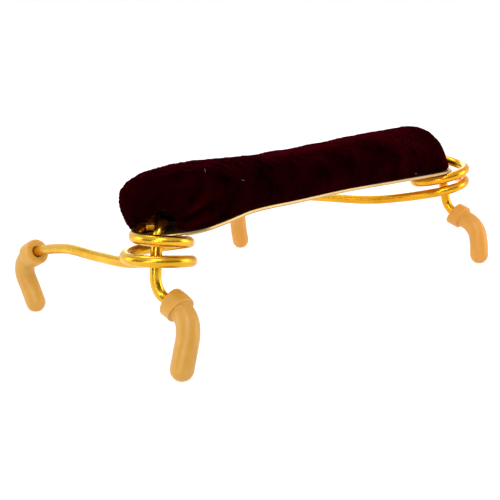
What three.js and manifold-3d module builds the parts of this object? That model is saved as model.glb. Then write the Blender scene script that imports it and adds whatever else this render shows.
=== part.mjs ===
// A violin shoulder rest with sprung wire legs.
//
// A bent metal strip carries a velvet-covered foam cushion. One round wire serves each end of the strip:
// it starts in a short rubber foot, rises through the middle of its own coil and through a hole in the
// strip, turns over on top of the strip under a riveted clip, leaves over the end of the strip, winds down
// below it and runs out as a long arm to a second rubber foot. The coil is a torsion spring, so each long
// arm swings outwards to take the edge of a violin and closes on it again.
//
// Millimetres, +Z up. X runs along the strip, and the short feet are on the -Y side.

import * as THREE from 'three';
import { mergeVertices } from 'three/addons/utils/BufferGeometryUtils.js';
import Module from 'manifold-3d';

const wasm = await Module();
wasm.setup();

// ---------------------------------------------------------------- driving dimensions

const WIRE_RADIUS = 2.0;
const GAP = 0.3; // between pieces that touch
const RUNNING = 0.6; // around the wire where it passes through velvet

const SPRING_SPACING = 184; // between the axes of the two coils
const COIL_RISE = 0.09; // slope of each coil, up towards its end of the strip
const HEAD_TILT = THREE.MathUtils.degToRad(4.6); // the short-foot side of the strip is the higher one
const HEAD_HEIGHT = 44; // of the line that the strip is tilted about

const STRIP_HALF_WIDTH = 16.5;
const STRIP_THICKNESS = 1.25;
const STRIP_CENTRES = [new THREE.Vector2(-79, 2.5), new THREE.Vector2(81.5, 7.2)]; // of its round ends
const STRIP_BEND = [
  [-100, 0.9], [-87, 0.7], [-72, 1.5], [-56, 2.8], [-30, 2], [3, 1], [40, -1.1], [84, -3.4], [102, -3.1],
]; // [x, height] along its underside
const LEG_HOLE_RADIUS = 2.7;

const CUSHION_HEIGHT = [
  [-100, 20.3], [-76, 20.4], [-50, 18.2], [0, 17.6], [40, 19.8], [60, 20.9], [74, 21.9], [86, 20.1],
  [102, 10.2],
];
const CUSHION_BULGE = 2.6; // of its sides, past the strip
const CUSHION_TAPER = 7.5; // its right end draws in by this much at the top
const TAPER_START = 30;
const VELVET_THICKNESS = 1.2;
const POCKET_HEIGHT = 8.6; // of the hollows in the foam, above the strip

const NOTCH_HEADING = THREE.MathUtils.degToRad(-49);
const NOTCH_DEPTH = 24;
const NOTCH_INSIDE = 8; // how far it runs past the coil's axis
const NOTCH_ARCH = [
  [-13, -4], [-13, 3.4], [-8.4, 4.1], [-6.8, 4.8], [-3.7, 5.8], [-1.2, 7], [0.8, 8], [2.6, 9],
  [4.3, 9.3], [5.8, 8.6], [7, 7], [8, 4.6], [9.4, 2.4], [10.8, 0.7], [11, -4],
]; // [across, height]

const SLEEVE_RADIUS = 4.05;
const CUFF_RADIUS = 5.25;
const CUFF_LENGTH = 5.8;
const SLEEVE_BORE = WIRE_RADIUS + GAP;
const WIRE_IN_SLEEVE = 19; // how far the wire reaches into each rubber foot
const FOOT_FLAT = 0.35; // rubber worn off the round tip
const TIP_HEIGHT = SLEEVE_RADIUS - FOOT_FLAT;

const CLIP_INSIDE = 3.1;
const CLIP_SEAT = 0.8; // under the clip, where the strip is curved
const CLIP_THICKNESS = 0.8;
const CLIP_WIDTH = 3;
const RIVET_OFFSET = 6.1; // from the wire to the rivet
const RIVET_SHANK = 1.0;

// Each side is described from its own coil axis: `out` is the direction away from the middle of the strip.
// Route points are [outwards, y, height above the ground].
const SIDES = [
  {
    name: 'left',
    out: -1,
    topRadius: 8.9,
    endRadius: 11.2,
    coilPitch: 6.2,
    coilLevel: 0.6,
    coilShift: [-2, 0.9],
    meetAngle: 100,
    topRun: 4.1,
    stepDown: 1.3,
    stepAngles: [0.95, 1.6],
    shortFoot: [
      [8.8, -16.3, TIP_HEIGHT], [6.6, -16.4, 9.8], [4.5, -15.8, 14], [2.7, -14, 18.2], [1.7, -10, 21.6],
    ],
    shortMouth: [1.9, -5.7, 23.9],
    leg: [[2.5, -2.7, 25.6], [2.9, -1, 29.4], [2.2, -0.6, 35]],
    arm: [[-12.4, 12, 32.8], [-13.9, 29.6, 29.8], [-16.3, 50, 29.5], [-18.6, 69, 30], [-20.6, 83, 28.2]],
    longMouth: [-22, 93, 26],
    longFoot: [
      [-22.1, 98, 23.7],
      [-22.3, 102.4, 20],
      [-22.6, 103.6, 15.5],
      [-23, 101.8, 10],
      [-22.6, 98.4, TIP_HEIGHT],
    ],
  },
  {
    name: 'right',
    out: 1,
    topRadius: 11.8,
    endRadius: 11.3,
    coilPitch: 5.5,
    coilLevel: -2.4,
    coilShift: [-1.3, -1.7],
    meetAngle: 85,
    topRun: 2.4,
    stepDown: 3.8,
    stepAngles: [-0.6, 1.1],
    shortFoot: [
      [-0.8, -20.1, TIP_HEIGHT], [0.5, -19.2, 9], [1.4, -17.8, 13.5], [2.1, -14.8, 16.9], [2.4, -10, 19.4],
    ],
    shortMouth: [2, -5.3, 21.8],
    leg: [[1.6, -2.4, 25.6], [1.1, -1.6, 29.8]],
    arm: [[-13.4, 9, 30.4], [-16, 28, 28.1], [-18, 46, 27.9], [-21.2, 66, 28.2], [-24, 84, 27.6]],
    longMouth: [-25.3, 94.5, 26.2],
    longFoot: [[-25.9, 100.2, 23.6], [-26.1, 103, 18], [-26, 103.2, 11], [-25.9, 102.4, TIP_HEIGHT]],
  },
];

// ---------------------------------------------------------------- materials

const GOLD = { color: 0xd9a53a, metalness: 1, roughness: 0.16 };
const PALE_GOLD = { color: 0xd8b46a, metalness: 1, roughness: 0.3 };
const VELVET = { color: 0x3a0512, metalness: 0, roughness: 1 };
const FOAM = { color: 0xd9d2bd, metalness: 0, roughness: 1 };
const LATEX = { color: 0xd9a860, metalness: 0, roughness: 0.55 };

// ---------------------------------------------------------------- solids

function toSolid(geometry) {
  const bare = geometry.clone();
  bare.deleteAttribute('normal');
  bare.deleteAttribute('uv');
  const merged = mergeVertices(bare, 1e-4);
  const vertProperties = new Float32Array(merged.attributes.position.array);
  const triVerts = new Uint32Array(merged.index.array);
  return new wasm.Manifold(new wasm.Mesh({ numProp: 3, vertProperties, triVerts }));
}

function toGeometry(solid) {
  const { vertProperties, triVerts, numProp } = solid.getMesh();
  const positions = [];
  for (let i = 0; i < vertProperties.length; i += numProp) {
    positions.push(vertProperties[i], vertProperties[i + 1], vertProperties[i + 2]);
  }
  const geometry = new THREE.BufferGeometry();
  geometry.setAttribute('position', new THREE.Float32BufferAttribute(positions, 3));
  geometry.setIndex(Array.from(triVerts));
  geometry.computeVertexNormals();
  return geometry;
}

function join(geometries) {
  return toGeometry(geometries.map(toSolid).reduce((whole, solid) => whole.add(solid)));
}

function cut(geometry, cutters) {
  return toGeometry(cutters.map(toSolid).reduce((whole, solid) => whole.subtract(solid), toSolid(geometry)));
}

function mesh(name, geometry, look) {
  const piece = new THREE.Mesh(geometry, new THREE.MeshStandardMaterial(look));
  piece.name = name;
  return piece;
}

// Height at x of a smooth line through a few [x, height] stations.
function smoothLine(stations, x) {
  const last = stations.length - 1;
  const at = (i) => stations[THREE.MathUtils.clamp(i, 0, last)];
  const next = stations.findIndex(([stationX]) => stationX > x);
  const i = THREE.MathUtils.clamp((next < 0 ? last : next) - 1, 0, last - 1);
  const slope = (k) => (at(k + 1)[1] - at(k - 1)[1]) / (at(k + 1)[0] - at(k - 1)[0]);
  const span = at(i + 1)[0] - at(i)[0];
  const t = THREE.MathUtils.clamp((x - at(i)[0]) / span, 0, 1);
  const [t2, t3] = [t * t, t * t * t];
  const [a, b] = [at(i)[1], at(i + 1)[1]];
  return (2 * t3 - 3 * t2 + 1) * a + (t3 - 2 * t2 + t) * span * slope(i)
    + (3 * t2 - 2 * t3) * b + (t3 - t2) * span * slope(i + 1);
}

// ---------------------------------------------------------------- the tilted head

// The strip, the cushion and the coils are laid out level and then tilted together.
const headMatrix = new THREE.Matrix4().makeRotationX(-HEAD_TILT).setPosition(0, 0, HEAD_HEIGHT);

const stripUnderside = (x) => smoothLine(STRIP_BEND, x);
const stripTop = (x) => stripUnderside(x) + STRIP_THICKNESS;

function headPoint(side, outwards, y, z) {
  const x = side.out * (SPRING_SPACING / 2 + outwards);
  return new THREE.Vector3(x, y, z).applyMatrix4(headMatrix);
}

function groundPoint(side, [outwards, y, z]) {
  return new THREE.Vector3(side.out * (SPRING_SPACING / 2 + outwards), y, z);
}

// Stations round a strip with semicircular ends: [point on the spine, outward direction].
function outlineStations(alongCount, endCount) {
  const [start, end] = STRIP_CENTRES;
  const along = end.clone().sub(start).normalize();
  const heading = Math.atan2(along.y, along.x);
  const stations = [];
  const add = (spine, angle) => stations.push([spine, new THREE.Vector2(Math.cos(angle), Math.sin(angle))]);
  for (let i = 0; i < alongCount; i += 1) {
    add(start.clone().lerp(end, i / alongCount), heading - Math.PI / 2);
  }
  for (let i = 0; i < endCount; i += 1) {
    add(end, heading + Math.PI * (i / endCount - 1 / 2));
  }
  for (let i = 0; i < alongCount; i += 1) {
    add(end.clone().lerp(start, i / alongCount), heading + Math.PI / 2);
  }
  for (let i = 0; i < endCount; i += 1) {
    add(start, heading + Math.PI * (i / endCount + 1 / 2));
  }
  return stations;
}

// A closed solid over the strip's outline. Each ring is {reach: distance out from the spine, height: as a
// function of x, taper: how much less the reach is at the right end}. The first and last lie on the spine.
function stripSolid(rings, alongCount, endCount) {
  const stations = outlineStations(alongCount, endCount);
  const positions = [];
  for (const { reach, height, taper = 0 } of rings) {
    for (const [spine, outward] of stations) {
      const tapered = reach - taper * THREE.MathUtils.smoothstep(spine.x, TAPER_START, STRIP_CENTRES[1].x);
      const point = spine.clone().addScaledVector(outward, tapered);
      positions.push(point.x, point.y, height(point.x));
    }
  }
  const count = stations.length;
  const index = [];
  for (let ring = 0; ring + 1 < rings.length; ring += 1) {
    for (let i = 0; i < count; i += 1) {
      const [a, b] = [ring * count + i, ring * count + ((i + 1) % count)];
      index.push(a, b, b + count, a, b + count, a + count);
    }
  }
  const geometry = new THREE.BufferGeometry();
  geometry.setAttribute('position', new THREE.Float32BufferAttribute(positions, 3));
  geometry.setIndex(index);
  return dropThinTriangles(mergeVertices(geometry, 1e-3));
}

function dropThinTriangles(geometry) {
  const kept = [];
  const { array } = geometry.index;
  for (let i = 0; i < array.length; i += 3) {
    const [a, b, c] = array.slice(i, i + 3);
    if (a !== b && b !== c && c !== a) kept.push(a, b, c);
  }
  geometry.setIndex(kept);
  return geometry;
}

// ---------------------------------------------------------------- the wire

// Height of the coil's centre-line in the level head, at a turning angle from the strip's end.
function coilHeight(side, angle, radius) {
  const overStrip = THREE.MathUtils.smoothstep(angle, ...side.stepAngles) * side.stepDown;
  const wound = (side.coilPitch * angle) / (2 * Math.PI);
  return side.coilLevel + wound + COIL_RISE * radius * Math.cos(angle) + overStrip;
}

// The turns run clockwise seen from above in (outwards, y), from the top of the strip to the arm.
function coilPoints(side, stepDegrees) {
  const points = [];
  const endAngle = -3 * Math.PI;
  const startAngle = THREE.MathUtils.degToRad(side.meetAngle - 14);
  const steps = Math.round((startAngle - endAngle) / THREE.MathUtils.degToRad(stepDegrees));
  for (let i = 0; i < steps; i += 1) {
    const angle = THREE.MathUtils.lerp(startAngle, endAngle, i / steps);
    const wound = THREE.MathUtils.clamp(-angle / (2 * Math.PI), 0, 1);
    const radius = THREE.MathUtils.lerp(side.topRadius, side.endRadius, wound);
    const shift = THREE.MathUtils.lerp(side.coilShift[0], side.coilShift[1], wound);
    const height = coilHeight(side, angle, radius);
    points.push(headPoint(side, shift + radius * Math.cos(angle), radius * Math.sin(angle), height));
  }
  return points;
}

// On top of the strip the wire makes half a small circle, from its hole out to the ring of the coil.
function crossingPoints(side) {
  const meet = THREE.MathUtils.degToRad(side.meetAngle);
  const small = side.topRadius / 2;
  const ringHeight = coilHeight(side, meet, side.topRadius);
  const points = [];
  for (const [turned, drop] of [[0.03, 3.2], [0.13, 0.9], [0.28, 0], [0.5, 0], [0.72, 0], [0.9, 0]]) {
    const angle = meet + Math.PI * (1 - turned);
    const outwards = small * (Math.cos(meet) + Math.cos(angle)) + side.coilShift[0] * turned;
    const y = small * (Math.sin(meet) + Math.sin(angle));
    const height = THREE.MathUtils.lerp(side.topRun, ringHeight, turned ** 2) - drop;
    points.push(headPoint(side, outwards, y, height));
  }
  return points;
}

// The whole wire of one side, with marks for the pieces that it is divided into.
function wireRoute(side) {
  const shortFoot = [...side.shortFoot, side.shortMouth].map((point) => groundPoint(side, point));
  const leg = side.leg.map((point) => groundPoint(side, point));
  const crossing = crossingPoints(side);
  const coil = coilPoints(side, 20);
  const arm = side.arm.map((point) => groundPoint(side, point));
  const longFoot = [side.longMouth, ...side.longFoot].map((point) => groundPoint(side, point));
  const points = [...shortFoot, ...leg, ...crossing, ...coil, ...arm, ...longFoot];
  const curve = new THREE.CatmullRomCurve3(points, false, 'centripetal');
  const perSpan = 12;
  const lengths = curve.getLengths((points.length - 1) * perSpan);
  const distanceTo = (index) => lengths[index * perSpan];
  const coilStart = shortFoot.length + leg.length + crossing.length;
  return {
    curve,
    length: lengths.at(-1),
    shortMouth: distanceTo(shortFoot.length - 1),
    clip: distanceTo(shortFoot.length + leg.length + 4),
    coilStart: distanceTo(coilStart + 2),
    coilEnd: distanceTo(coilStart + coil.length),
    longMouth: distanceTo(points.length - longFoot.length),
  };
}

// The stretch of a route between two distances along it.
class Stretch extends THREE.Curve {
  constructor(route, from, to) {
    super();
    this.route = route;
    this.from = from / route.length;
    this.to = to / route.length;
  }

  getPoint(t, target) {
    return this.route.curve.getPointAt(THREE.MathUtils.lerp(this.from, this.to, t), target);
  }
}

function circle(radius, sides) {
  const shape = new THREE.Shape();
  for (let i = 0; i < sides; i += 1) {
    const angle = (2 * Math.PI * i) / sides;
    const [x, y] = [radius * Math.cos(angle), radius * Math.sin(angle)];
    if (i === 0) shape.moveTo(x, y);
    else shape.lineTo(x, y);
  }
  shape.closePath();
  return shape;
}

function rod(route, from, to, radius, sides, spacing) {
  const extrudePath = new Stretch(route, from, to);
  const steps = Math.max(2, Math.round((to - from) / spacing));
  return new THREE.ExtrudeGeometry(circle(radius, sides), { steps, extrudePath, curveSegments: 1 });
}

function legWire(side, route) {
  const from = route.shortMouth - WIRE_IN_SLEEVE;
  const to = route.coilStart - GAP / 2;
  return mesh(`${side.name}_leg_wire`, rod(route, from, to, WIRE_RADIUS, 10, 1.9), GOLD);
}

function springCoil(side, route) {
  const [from, to] = [route.coilStart + GAP / 2, route.coilEnd - GAP / 2];
  return mesh(`${side.name}_spring_coil`, rod(route, from, to, WIRE_RADIUS, 10, 2.6), GOLD);
}

function armWire(side, route) {
  const [from, to] = [route.coilEnd + GAP / 2, route.longMouth + WIRE_IN_SLEEVE];
  return mesh(`${side.name}_arm_wire`, rod(route, from, to, WIRE_RADIUS, 10, 3.2), GOLD);
}

// ---------------------------------------------------------------- rubber feet

// A rubber finger on the end of the wire: round tip with a small worn flat, thick cuff at the mouth.
function rubberFoot(name, route, mouth, tip) {
  const inwards = Math.sign(tip - mouth);
  const along = (distance) => mouth + inwards * distance;
  const stretch = (start, end, radius, sides, spacing) => {
    const [from, to] = [along(start), along(end)].sort((a, b) => a - b);
    return rod(route, from, to, radius, sides, spacing);
  };
  const length = Math.abs(tip - mouth);
  const finger = stretch(CUFF_LENGTH / 2, length, SLEEVE_RADIUS, 14, 3);
  const cuff = stretch(0, CUFF_LENGTH, CUFF_RADIUS, 16, 1.6);
  const tipCentre = route.curve.getPointAt(tip / route.length);
  const roundTip = new THREE.SphereGeometry(SLEEVE_RADIUS, 14, 8);
  roundTip.translate(tipCentre.x, tipCentre.y, tipCentre.z);
  const bore = stretch(-2, WIRE_IN_SLEEVE + GAP, SLEEVE_BORE, 10, 2.6);
  const ground = new THREE.BoxGeometry(20, 20, 10);
  ground.translate(tipCentre.x, tipCentre.y, -5);
  return mesh(name, cut(join([finger, cuff, roundTip]), [bore, ground]), LATEX);
}

// ---------------------------------------------------------------- strip, clips and rivets

// Where the clip sits: on the strip's top, under the wire, with the rivet on the cushion's side.
function clipSeat(side, route) {
  const toHead = headMatrix.clone().invert();
  const wire = route.curve.getPointAt(route.clip / route.length).applyMatrix4(toHead);
  const tangent = route.curve.getTangentAt(route.clip / route.length).transformDirection(toHead);
  const slope = (stripTop(wire.x + 1) - stripTop(wire.x - 1)) / 2;
  const up = new THREE.Vector3(-slope, 0, 1).normalize();
  const alongWire = tangent.sub(up.clone().multiplyScalar(tangent.dot(up))).normalize();
  const across = up.clone().cross(alongWire);
  const base = new THREE.Vector3(wire.x, wire.y, stripTop(wire.x)).addScaledVector(up, CLIP_SEAT);
  const matrix = new THREE.Matrix4().makeBasis(across, up, alongWire).setPosition(base);
  const rivetSide = Math.sign(-side.out * across.x);
  return { matrix, rivetSide, wireHeight: wire.clone().sub(base).dot(up) };
}

function wireClip(side, seat) {
  const [inner, outer] = [CLIP_INSIDE, CLIP_INSIDE + CLIP_THICKNESS];
  const profile = new THREE.Shape();
  profile.moveTo(-outer, 0);
  profile.lineTo(-outer, seat.wireHeight);
  profile.absarc(0, seat.wireHeight, outer, Math.PI, 0, true);
  profile.lineTo(outer, CLIP_THICKNESS);
  profile.lineTo(RIVET_OFFSET + 2.4, CLIP_THICKNESS);
  profile.lineTo(RIVET_OFFSET + 2.4, 0);
  profile.lineTo(inner, 0);
  profile.lineTo(inner, seat.wireHeight);
  profile.absarc(0, seat.wireHeight, inner, 0, Math.PI, false);
  profile.lineTo(-inner, 0);
  profile.closePath();
  const bend = { depth: CLIP_WIDTH, bevelEnabled: false, curveSegments: 8 };
  const strap = new THREE.ExtrudeGeometry(profile, bend);
  strap.translate(0, 0, -CLIP_WIDTH / 2);
  const hole = new THREE.CylinderGeometry(RIVET_SHANK + GAP, RIVET_SHANK + GAP, 4, 12);
  hole.translate(RIVET_OFFSET, 0, 0);
  const clip = cut(strap, [hole]);
  if (seat.rivetSide < 0) clip.rotateY(Math.PI);
  clip.applyMatrix4(seat.matrix);
  return mesh(`${side.name}_wire_clip`, clip.applyMatrix4(headMatrix), PALE_GOLD);
}

function clipRivet(side, seat) {
  const top = CLIP_THICKNESS + GAP;
  const bottom = -CLIP_SEAT - STRIP_THICKNESS - GAP;
  const headRadius = 1.9;
  const profile = [
    [0, bottom - 0.5], [headRadius, bottom - 0.4], [headRadius, bottom], [RIVET_SHANK, bottom],
    [RIVET_SHANK, top], [headRadius, top], [headRadius, top + 0.3], [0.6 * headRadius, top + 0.9],
    [0, top + 1],
  ];
  const rivet = new THREE.LatheGeometry(profile.map(([radius, y]) => new THREE.Vector2(radius, y)), 12);
  rivet.translate(seat.rivetSide * RIVET_OFFSET, 0, 0);
  rivet.applyMatrix4(seat.matrix);
  return mesh(`${side.name}_clip_rivet`, rivet.applyMatrix4(headMatrix), PALE_GOLD);
}

// The strip is pierced for the legs and the rivets, and relieved where the wire steps down over its end.
function basePlate(seats, routes) {
  const strip = stripSolid([
    { reach: 0, height: stripUnderside },
    { reach: STRIP_HALF_WIDTH, height: stripUnderside },
    { reach: STRIP_HALF_WIDTH, height: stripTop },
    { reach: 0, height: stripTop },
  ], 28, 10);
  const legHoles = SIDES.map((side) => {
    const hole = new THREE.CylinderGeometry(LEG_HOLE_RADIUS, LEG_HOLE_RADIUS, 12, 16);
    hole.rotateX(Math.PI / 2);
    return hole.translate((side.out * SPRING_SPACING) / 2, 0, 0);
  });
  const rivetHoles = seats.map((seat) => {
    const hole = new THREE.CylinderGeometry(RIVET_SHANK + GAP, RIVET_SHANK + GAP, 8, 12);
    hole.translate(seat.rivetSide * RIVET_OFFSET, 0, 0);
    return hole.applyMatrix4(seat.matrix);
  });
  const reliefs = routes.map((route) => {
    return rod(route, route.coilStart - 26, route.coilStart + 42, WIRE_RADIUS + 1.6 * GAP, 12, 2);
  });
  const plate = cut(strip, [...legHoles, ...rivetHoles]).applyMatrix4(headMatrix);
  return mesh('base_plate', cut(plate, reliefs), PALE_GOLD);
}

// ---------------------------------------------------------------- cushion

// A crowned pad over the strip, `inset` inside the cushion's outer surface, with its foot `foot` above
// the strip.
function cushionForm(inset, foot) {
  const seat = (x) => stripTop(x) + foot;
  const side = (share) => (x) => THREE.MathUtils.lerp(stripTop(x) + GAP, crown(x), share);
  const crown = (x) => stripTop(x) + smoothLine(CUSHION_HEIGHT, x) - inset;
  const width = STRIP_HALF_WIDTH - inset;
  return stripSolid([
    { reach: 0, height: seat },
    { reach: width, height: seat },
    { reach: width + CUSHION_BULGE * 0.8, height: side(0.22), taper: CUSHION_TAPER * 0.4 },
    { reach: width + CUSHION_BULGE, height: side(0.5), taper: CUSHION_TAPER * 0.8 },
    { reach: width + CUSHION_BULGE * 0.2, height: side(0.78), taper: CUSHION_TAPER },
    { reach: width - 3.6, height: side(0.94), taper: CUSHION_TAPER },
    { reach: width * 0.45, height: side(1), taper: CUSHION_TAPER * 0.5 },
    { reach: 0, height: side(1) },
  ], 16, 8);
}

// The hollows in the foam over the wire, the clip and the rivet.
function pockets(side, seat) {
  const x = (side.out * SPRING_SPACING) / 2;
  const hollow = (radius) => new THREE.CylinderGeometry(radius, radius, 2 * POCKET_HEIGHT, 24);
  const overWire = hollow(side.topRadius + 3.2).rotateX(Math.PI / 2).translate(x, 0, stripTop(x));
  const overClip = hollow(RIVET_OFFSET + 2.5).translate(seat.rivetSide * 3, 0, 0).applyMatrix4(seat.matrix);
  return [overWire, overClip];
}

// The arch where the velvet is cut back around the wire. It runs in at a slant, at the strip's near corner.
function velvetNotch(side) {
  const arch = new THREE.Shape();
  NOTCH_ARCH.forEach(([across, height], i) => {
    if (i === 0) arch.moveTo(across, height);
    else arch.lineTo(across, height);
  });
  arch.closePath();
  const notch = new THREE.ExtrudeGeometry(arch, { depth: NOTCH_DEPTH, bevelEnabled: false });
  notch.translate(0, 0, -NOTCH_INSIDE);
  notch.rotateX(Math.PI / 2);
  notch.rotateZ(NOTCH_HEADING);
  return notch.translate((side.out * SPRING_SPACING) / 2, 0, 0);
}

function foamPad(seats) {
  const block = cushionForm(VELVET_THICKNESS + GAP, GAP);
  const hollows = SIDES.flatMap((side, i) => pockets(side, seats[i]));
  return mesh('foam_pad', cut(block, hollows).applyMatrix4(headMatrix), FOAM);
}

function velvetCover(routes) {
  const outer = cushionForm(0, GAP);
  const inner = cushionForm(VELVET_THICKNESS, 0);
  const shell = cut(outer, [inner, velvetNotch(SIDES[0])]).applyMatrix4(headMatrix);
  const wires = routes.map((route) => {
    const [from, to] = [route.shortMouth + 12, route.coilStart + 30];
    return rod(route, from, to, WIRE_RADIUS + RUNNING, 10, 3);
  });
  return mesh('velvet_cover', cut(shell, wires), VELVET);
}

// ---------------------------------------------------------------- assembly

const shoulderRest = new THREE.Group();
const routes = SIDES.map(wireRoute);
const seats = SIDES.map((side, i) => clipSeat(side, routes[i]));

shoulderRest.add(basePlate(seats, routes), foamPad(seats), velvetCover(routes));
SIDES.forEach((side, i) => {
  const [route, seat] = [routes[i], seats[i]];
  shoulderRest.add(
    legWire(side, route),
    springCoil(side, route),
    armWire(side, route),
    wireClip(side, seat),
    clipRivet(side, seat),
    rubberFoot(`${side.name}_short_foot`, route, route.shortMouth, 0),
    rubberFoot(`${side.name}_long_foot`, route, route.longMouth, route.length),
  );
});

// The origin is on the ground, under the middle of the whole rest.
const bounds = new THREE.Box3().setFromObject(shoulderRest);
const middle = bounds.getCenter(new THREE.Vector3());
shoulderRest.position.set(-middle.x, -middle.y, -bounds.min.z);

export default shoulderRest;
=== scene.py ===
import math

import bmesh
import bpy
import numpy as np
from mathutils import Matrix, Vector, noise
from mathutils.bvhtree import BVHTree


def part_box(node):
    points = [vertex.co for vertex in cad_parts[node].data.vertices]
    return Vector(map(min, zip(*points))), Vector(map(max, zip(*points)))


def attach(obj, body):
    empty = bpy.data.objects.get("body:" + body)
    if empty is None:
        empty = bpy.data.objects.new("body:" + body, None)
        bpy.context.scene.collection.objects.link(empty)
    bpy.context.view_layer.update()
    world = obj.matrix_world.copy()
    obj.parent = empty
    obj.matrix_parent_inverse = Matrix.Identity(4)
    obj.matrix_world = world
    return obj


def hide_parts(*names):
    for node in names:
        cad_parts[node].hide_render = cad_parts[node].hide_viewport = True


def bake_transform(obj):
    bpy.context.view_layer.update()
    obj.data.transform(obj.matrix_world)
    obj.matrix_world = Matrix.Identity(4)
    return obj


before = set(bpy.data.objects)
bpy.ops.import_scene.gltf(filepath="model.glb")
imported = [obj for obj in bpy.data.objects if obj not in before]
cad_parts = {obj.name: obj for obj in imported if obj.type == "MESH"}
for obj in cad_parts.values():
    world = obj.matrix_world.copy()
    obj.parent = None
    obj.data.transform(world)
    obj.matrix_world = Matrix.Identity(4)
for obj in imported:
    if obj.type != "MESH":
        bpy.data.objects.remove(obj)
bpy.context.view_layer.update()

# Violin shoulder rest. Sizes below are in millimetres in the part's own frame, before it is centred on the
# ground; to_frame() turns them into metres in the shared frame.

MM = 0.001
ORIGIN = np.array([0.7756, -41.6486, 0.0])

WIRE_RADIUS = 2.0
SPRING_SPACING = 184.0
COIL_RISE = 0.09
HEAD_TILT = math.radians(4.6)
HEAD_HEIGHT = 44.0
STRIP_HALF_WIDTH = 16.5
STRIP_THICKNESS = 1.25
STRIP_CENTRES = ((-79.0, 2.5), (81.5, 7.2))
STRIP_BEND = [
    (-100, 0.9), (-87, 0.7), (-72, 1.5), (-56, 2.8), (-30, 2), (3, 1), (40, -1.1), (84, -3.4), (102, -3.1),
]
LEG_HOLE_RADIUS = 2.7
RIVET_HOLE_RADIUS = 1.3
SLEEVE_RADIUS = 4.05
CUFF_RADIUS = 5.25
CUFF_LENGTH = 5.8
WIRE_IN_SLEEVE = 19.0
TIP_HEIGHT = SLEEVE_RADIUS - 0.35
SPAN_STEPS = 24  # points on a curve between two of its given points
COIL_STEP = 20  # degrees between the coil's given points
COIL_END = -540  # degrees
LEAD_IN = 14  # degrees from where the crossing meets the coil to the coil's first given point
CROSSING = ((0.03, 3.2), (0.13, 0.9), (0.28, 0), (0.5, 0), (0.72, 0), (0.9, 0))  # share turned, drop

SIDES = {
    "left": dict(
        out=-1, top_radius=8.9, end_radius=11.2, pitch=6.2, level=0.6, shift=(-2.0, 0.9),
        meet=100, top_run=4.1, step_down=1.3, step_angles=(0.95, 1.6),
        short_foot=[
            (8.8, -16.3, TIP_HEIGHT), (6.6, -16.4, 9.8), (4.5, -15.8, 14), (2.7, -14, 18.2), (1.7, -10, 21.6),
        ],
        short_mouth=(1.9, -5.7, 23.9),
        leg=[(2.5, -2.7, 25.6), (2.9, -1, 29.4), (2.2, -0.6, 35)],
        arm=[(-12.4, 12, 32.8), (-13.9, 29.6, 29.8), (-16.3, 50, 29.5), (-18.6, 69, 30), (-20.6, 83, 28.2)],
        long_mouth=(-22, 93, 26),
        long_foot=[
            (-22.1, 98, 23.7), (-22.3, 102.4, 20), (-22.6, 103.6, 15.5), (-23, 101.8, 10),
            (-22.6, 98.4, TIP_HEIGHT),
        ],
    ),
    "right": dict(
        out=1, top_radius=11.8, end_radius=11.3, pitch=5.5, level=-2.4, shift=(-1.3, -1.7),
        meet=85, top_run=2.4, step_down=3.8, step_angles=(-0.6, 1.1),
        short_foot=[
            (-0.8, -20.1, TIP_HEIGHT), (0.5, -19.2, 9), (1.4, -17.8, 13.5), (2.1, -14.8, 16.9),
            (2.4, -10, 19.4),
        ],
        short_mouth=(2, -5.3, 21.8),
        leg=[(1.6, -2.4, 25.6), (1.1, -1.6, 29.8)],
        arm=[(-13.4, 9, 30.4), (-16, 28, 28.1), (-18, 46, 27.9), (-21.2, 66, 28.2), (-24, 84, 27.6)],
        long_mouth=(-25.3, 94.5, 26.2),
        long_foot=[(-25.9, 100.2, 23.6), (-26.1, 103, 18), (-26, 103.2, 11), (-25.9, 102.4, TIP_HEIGHT)],
    ),
}


def to_frame(points):
    return (np.asarray(points, float) + ORIGIN) * MM


def smoothstep(x, low, high):
    t = np.clip((np.asarray(x, float) - low) / (high - low), 0, 1)
    return t * t * (3 - 2 * t)


def smooth_line(stations, x):
    """Height at x of a smooth line through a few (x, height) stations."""
    s = np.array(stations, float)
    x = np.atleast_1d(np.asarray(x, float))
    i = np.clip(np.searchsorted(s[:, 0], x, side="right") - 1, 0, len(s) - 2)
    before, after = np.maximum(np.arange(len(s)) - 1, 0), np.minimum(np.arange(len(s)) + 1, len(s) - 1)
    slope = (s[after, 1] - s[before, 1]) / (s[after, 0] - s[before, 0])
    span = s[i + 1, 0] - s[i, 0]
    t = np.clip((x - s[i, 0]) / span, 0, 1)
    t2, t3 = t * t, t * t * t
    return (
        (2 * t3 - 3 * t2 + 1) * s[i, 1]
        + (t3 - 2 * t2 + t) * span * slope[i]
        + (3 * t2 - 2 * t3) * s[i + 1, 1]
        + (t3 - t2) * span * slope[i + 1]
    )


# ---------------------------------------------------------------- the tilted head


def tilt(points):
    p = np.asarray(points, float)
    c, s = math.cos(HEAD_TILT), math.sin(HEAD_TILT)
    x, y, z = p[..., 0], p[..., 1], p[..., 2]
    return np.stack([x, y * c + z * s, -y * s + z * c + HEAD_HEIGHT], -1)


def level(points):
    """Points of the shared frame as millimetres in the level head, before it is tilted."""
    p = np.asarray(points, float) / MM - ORIGIN
    c, s = math.cos(HEAD_TILT), math.sin(HEAD_TILT)
    z = p[:, 2] - HEAD_HEIGHT
    return np.column_stack([p[:, 0], p[:, 1] * c - z * s, p[:, 1] * s + z * c])


def strip_under(x):
    return smooth_line(STRIP_BEND, x)


def strip_top(x):
    return strip_under(x) + STRIP_THICKNESS


def head_point(side, outwards, y, z):
    return tilt((side["out"] * (SPRING_SPACING / 2 + outwards), y, z))


def ground_point(side, point):
    return np.array([side["out"] * (SPRING_SPACING / 2 + point[0]), point[1], point[2]], float)


# ---------------------------------------------------------------- the wire's route


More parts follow.
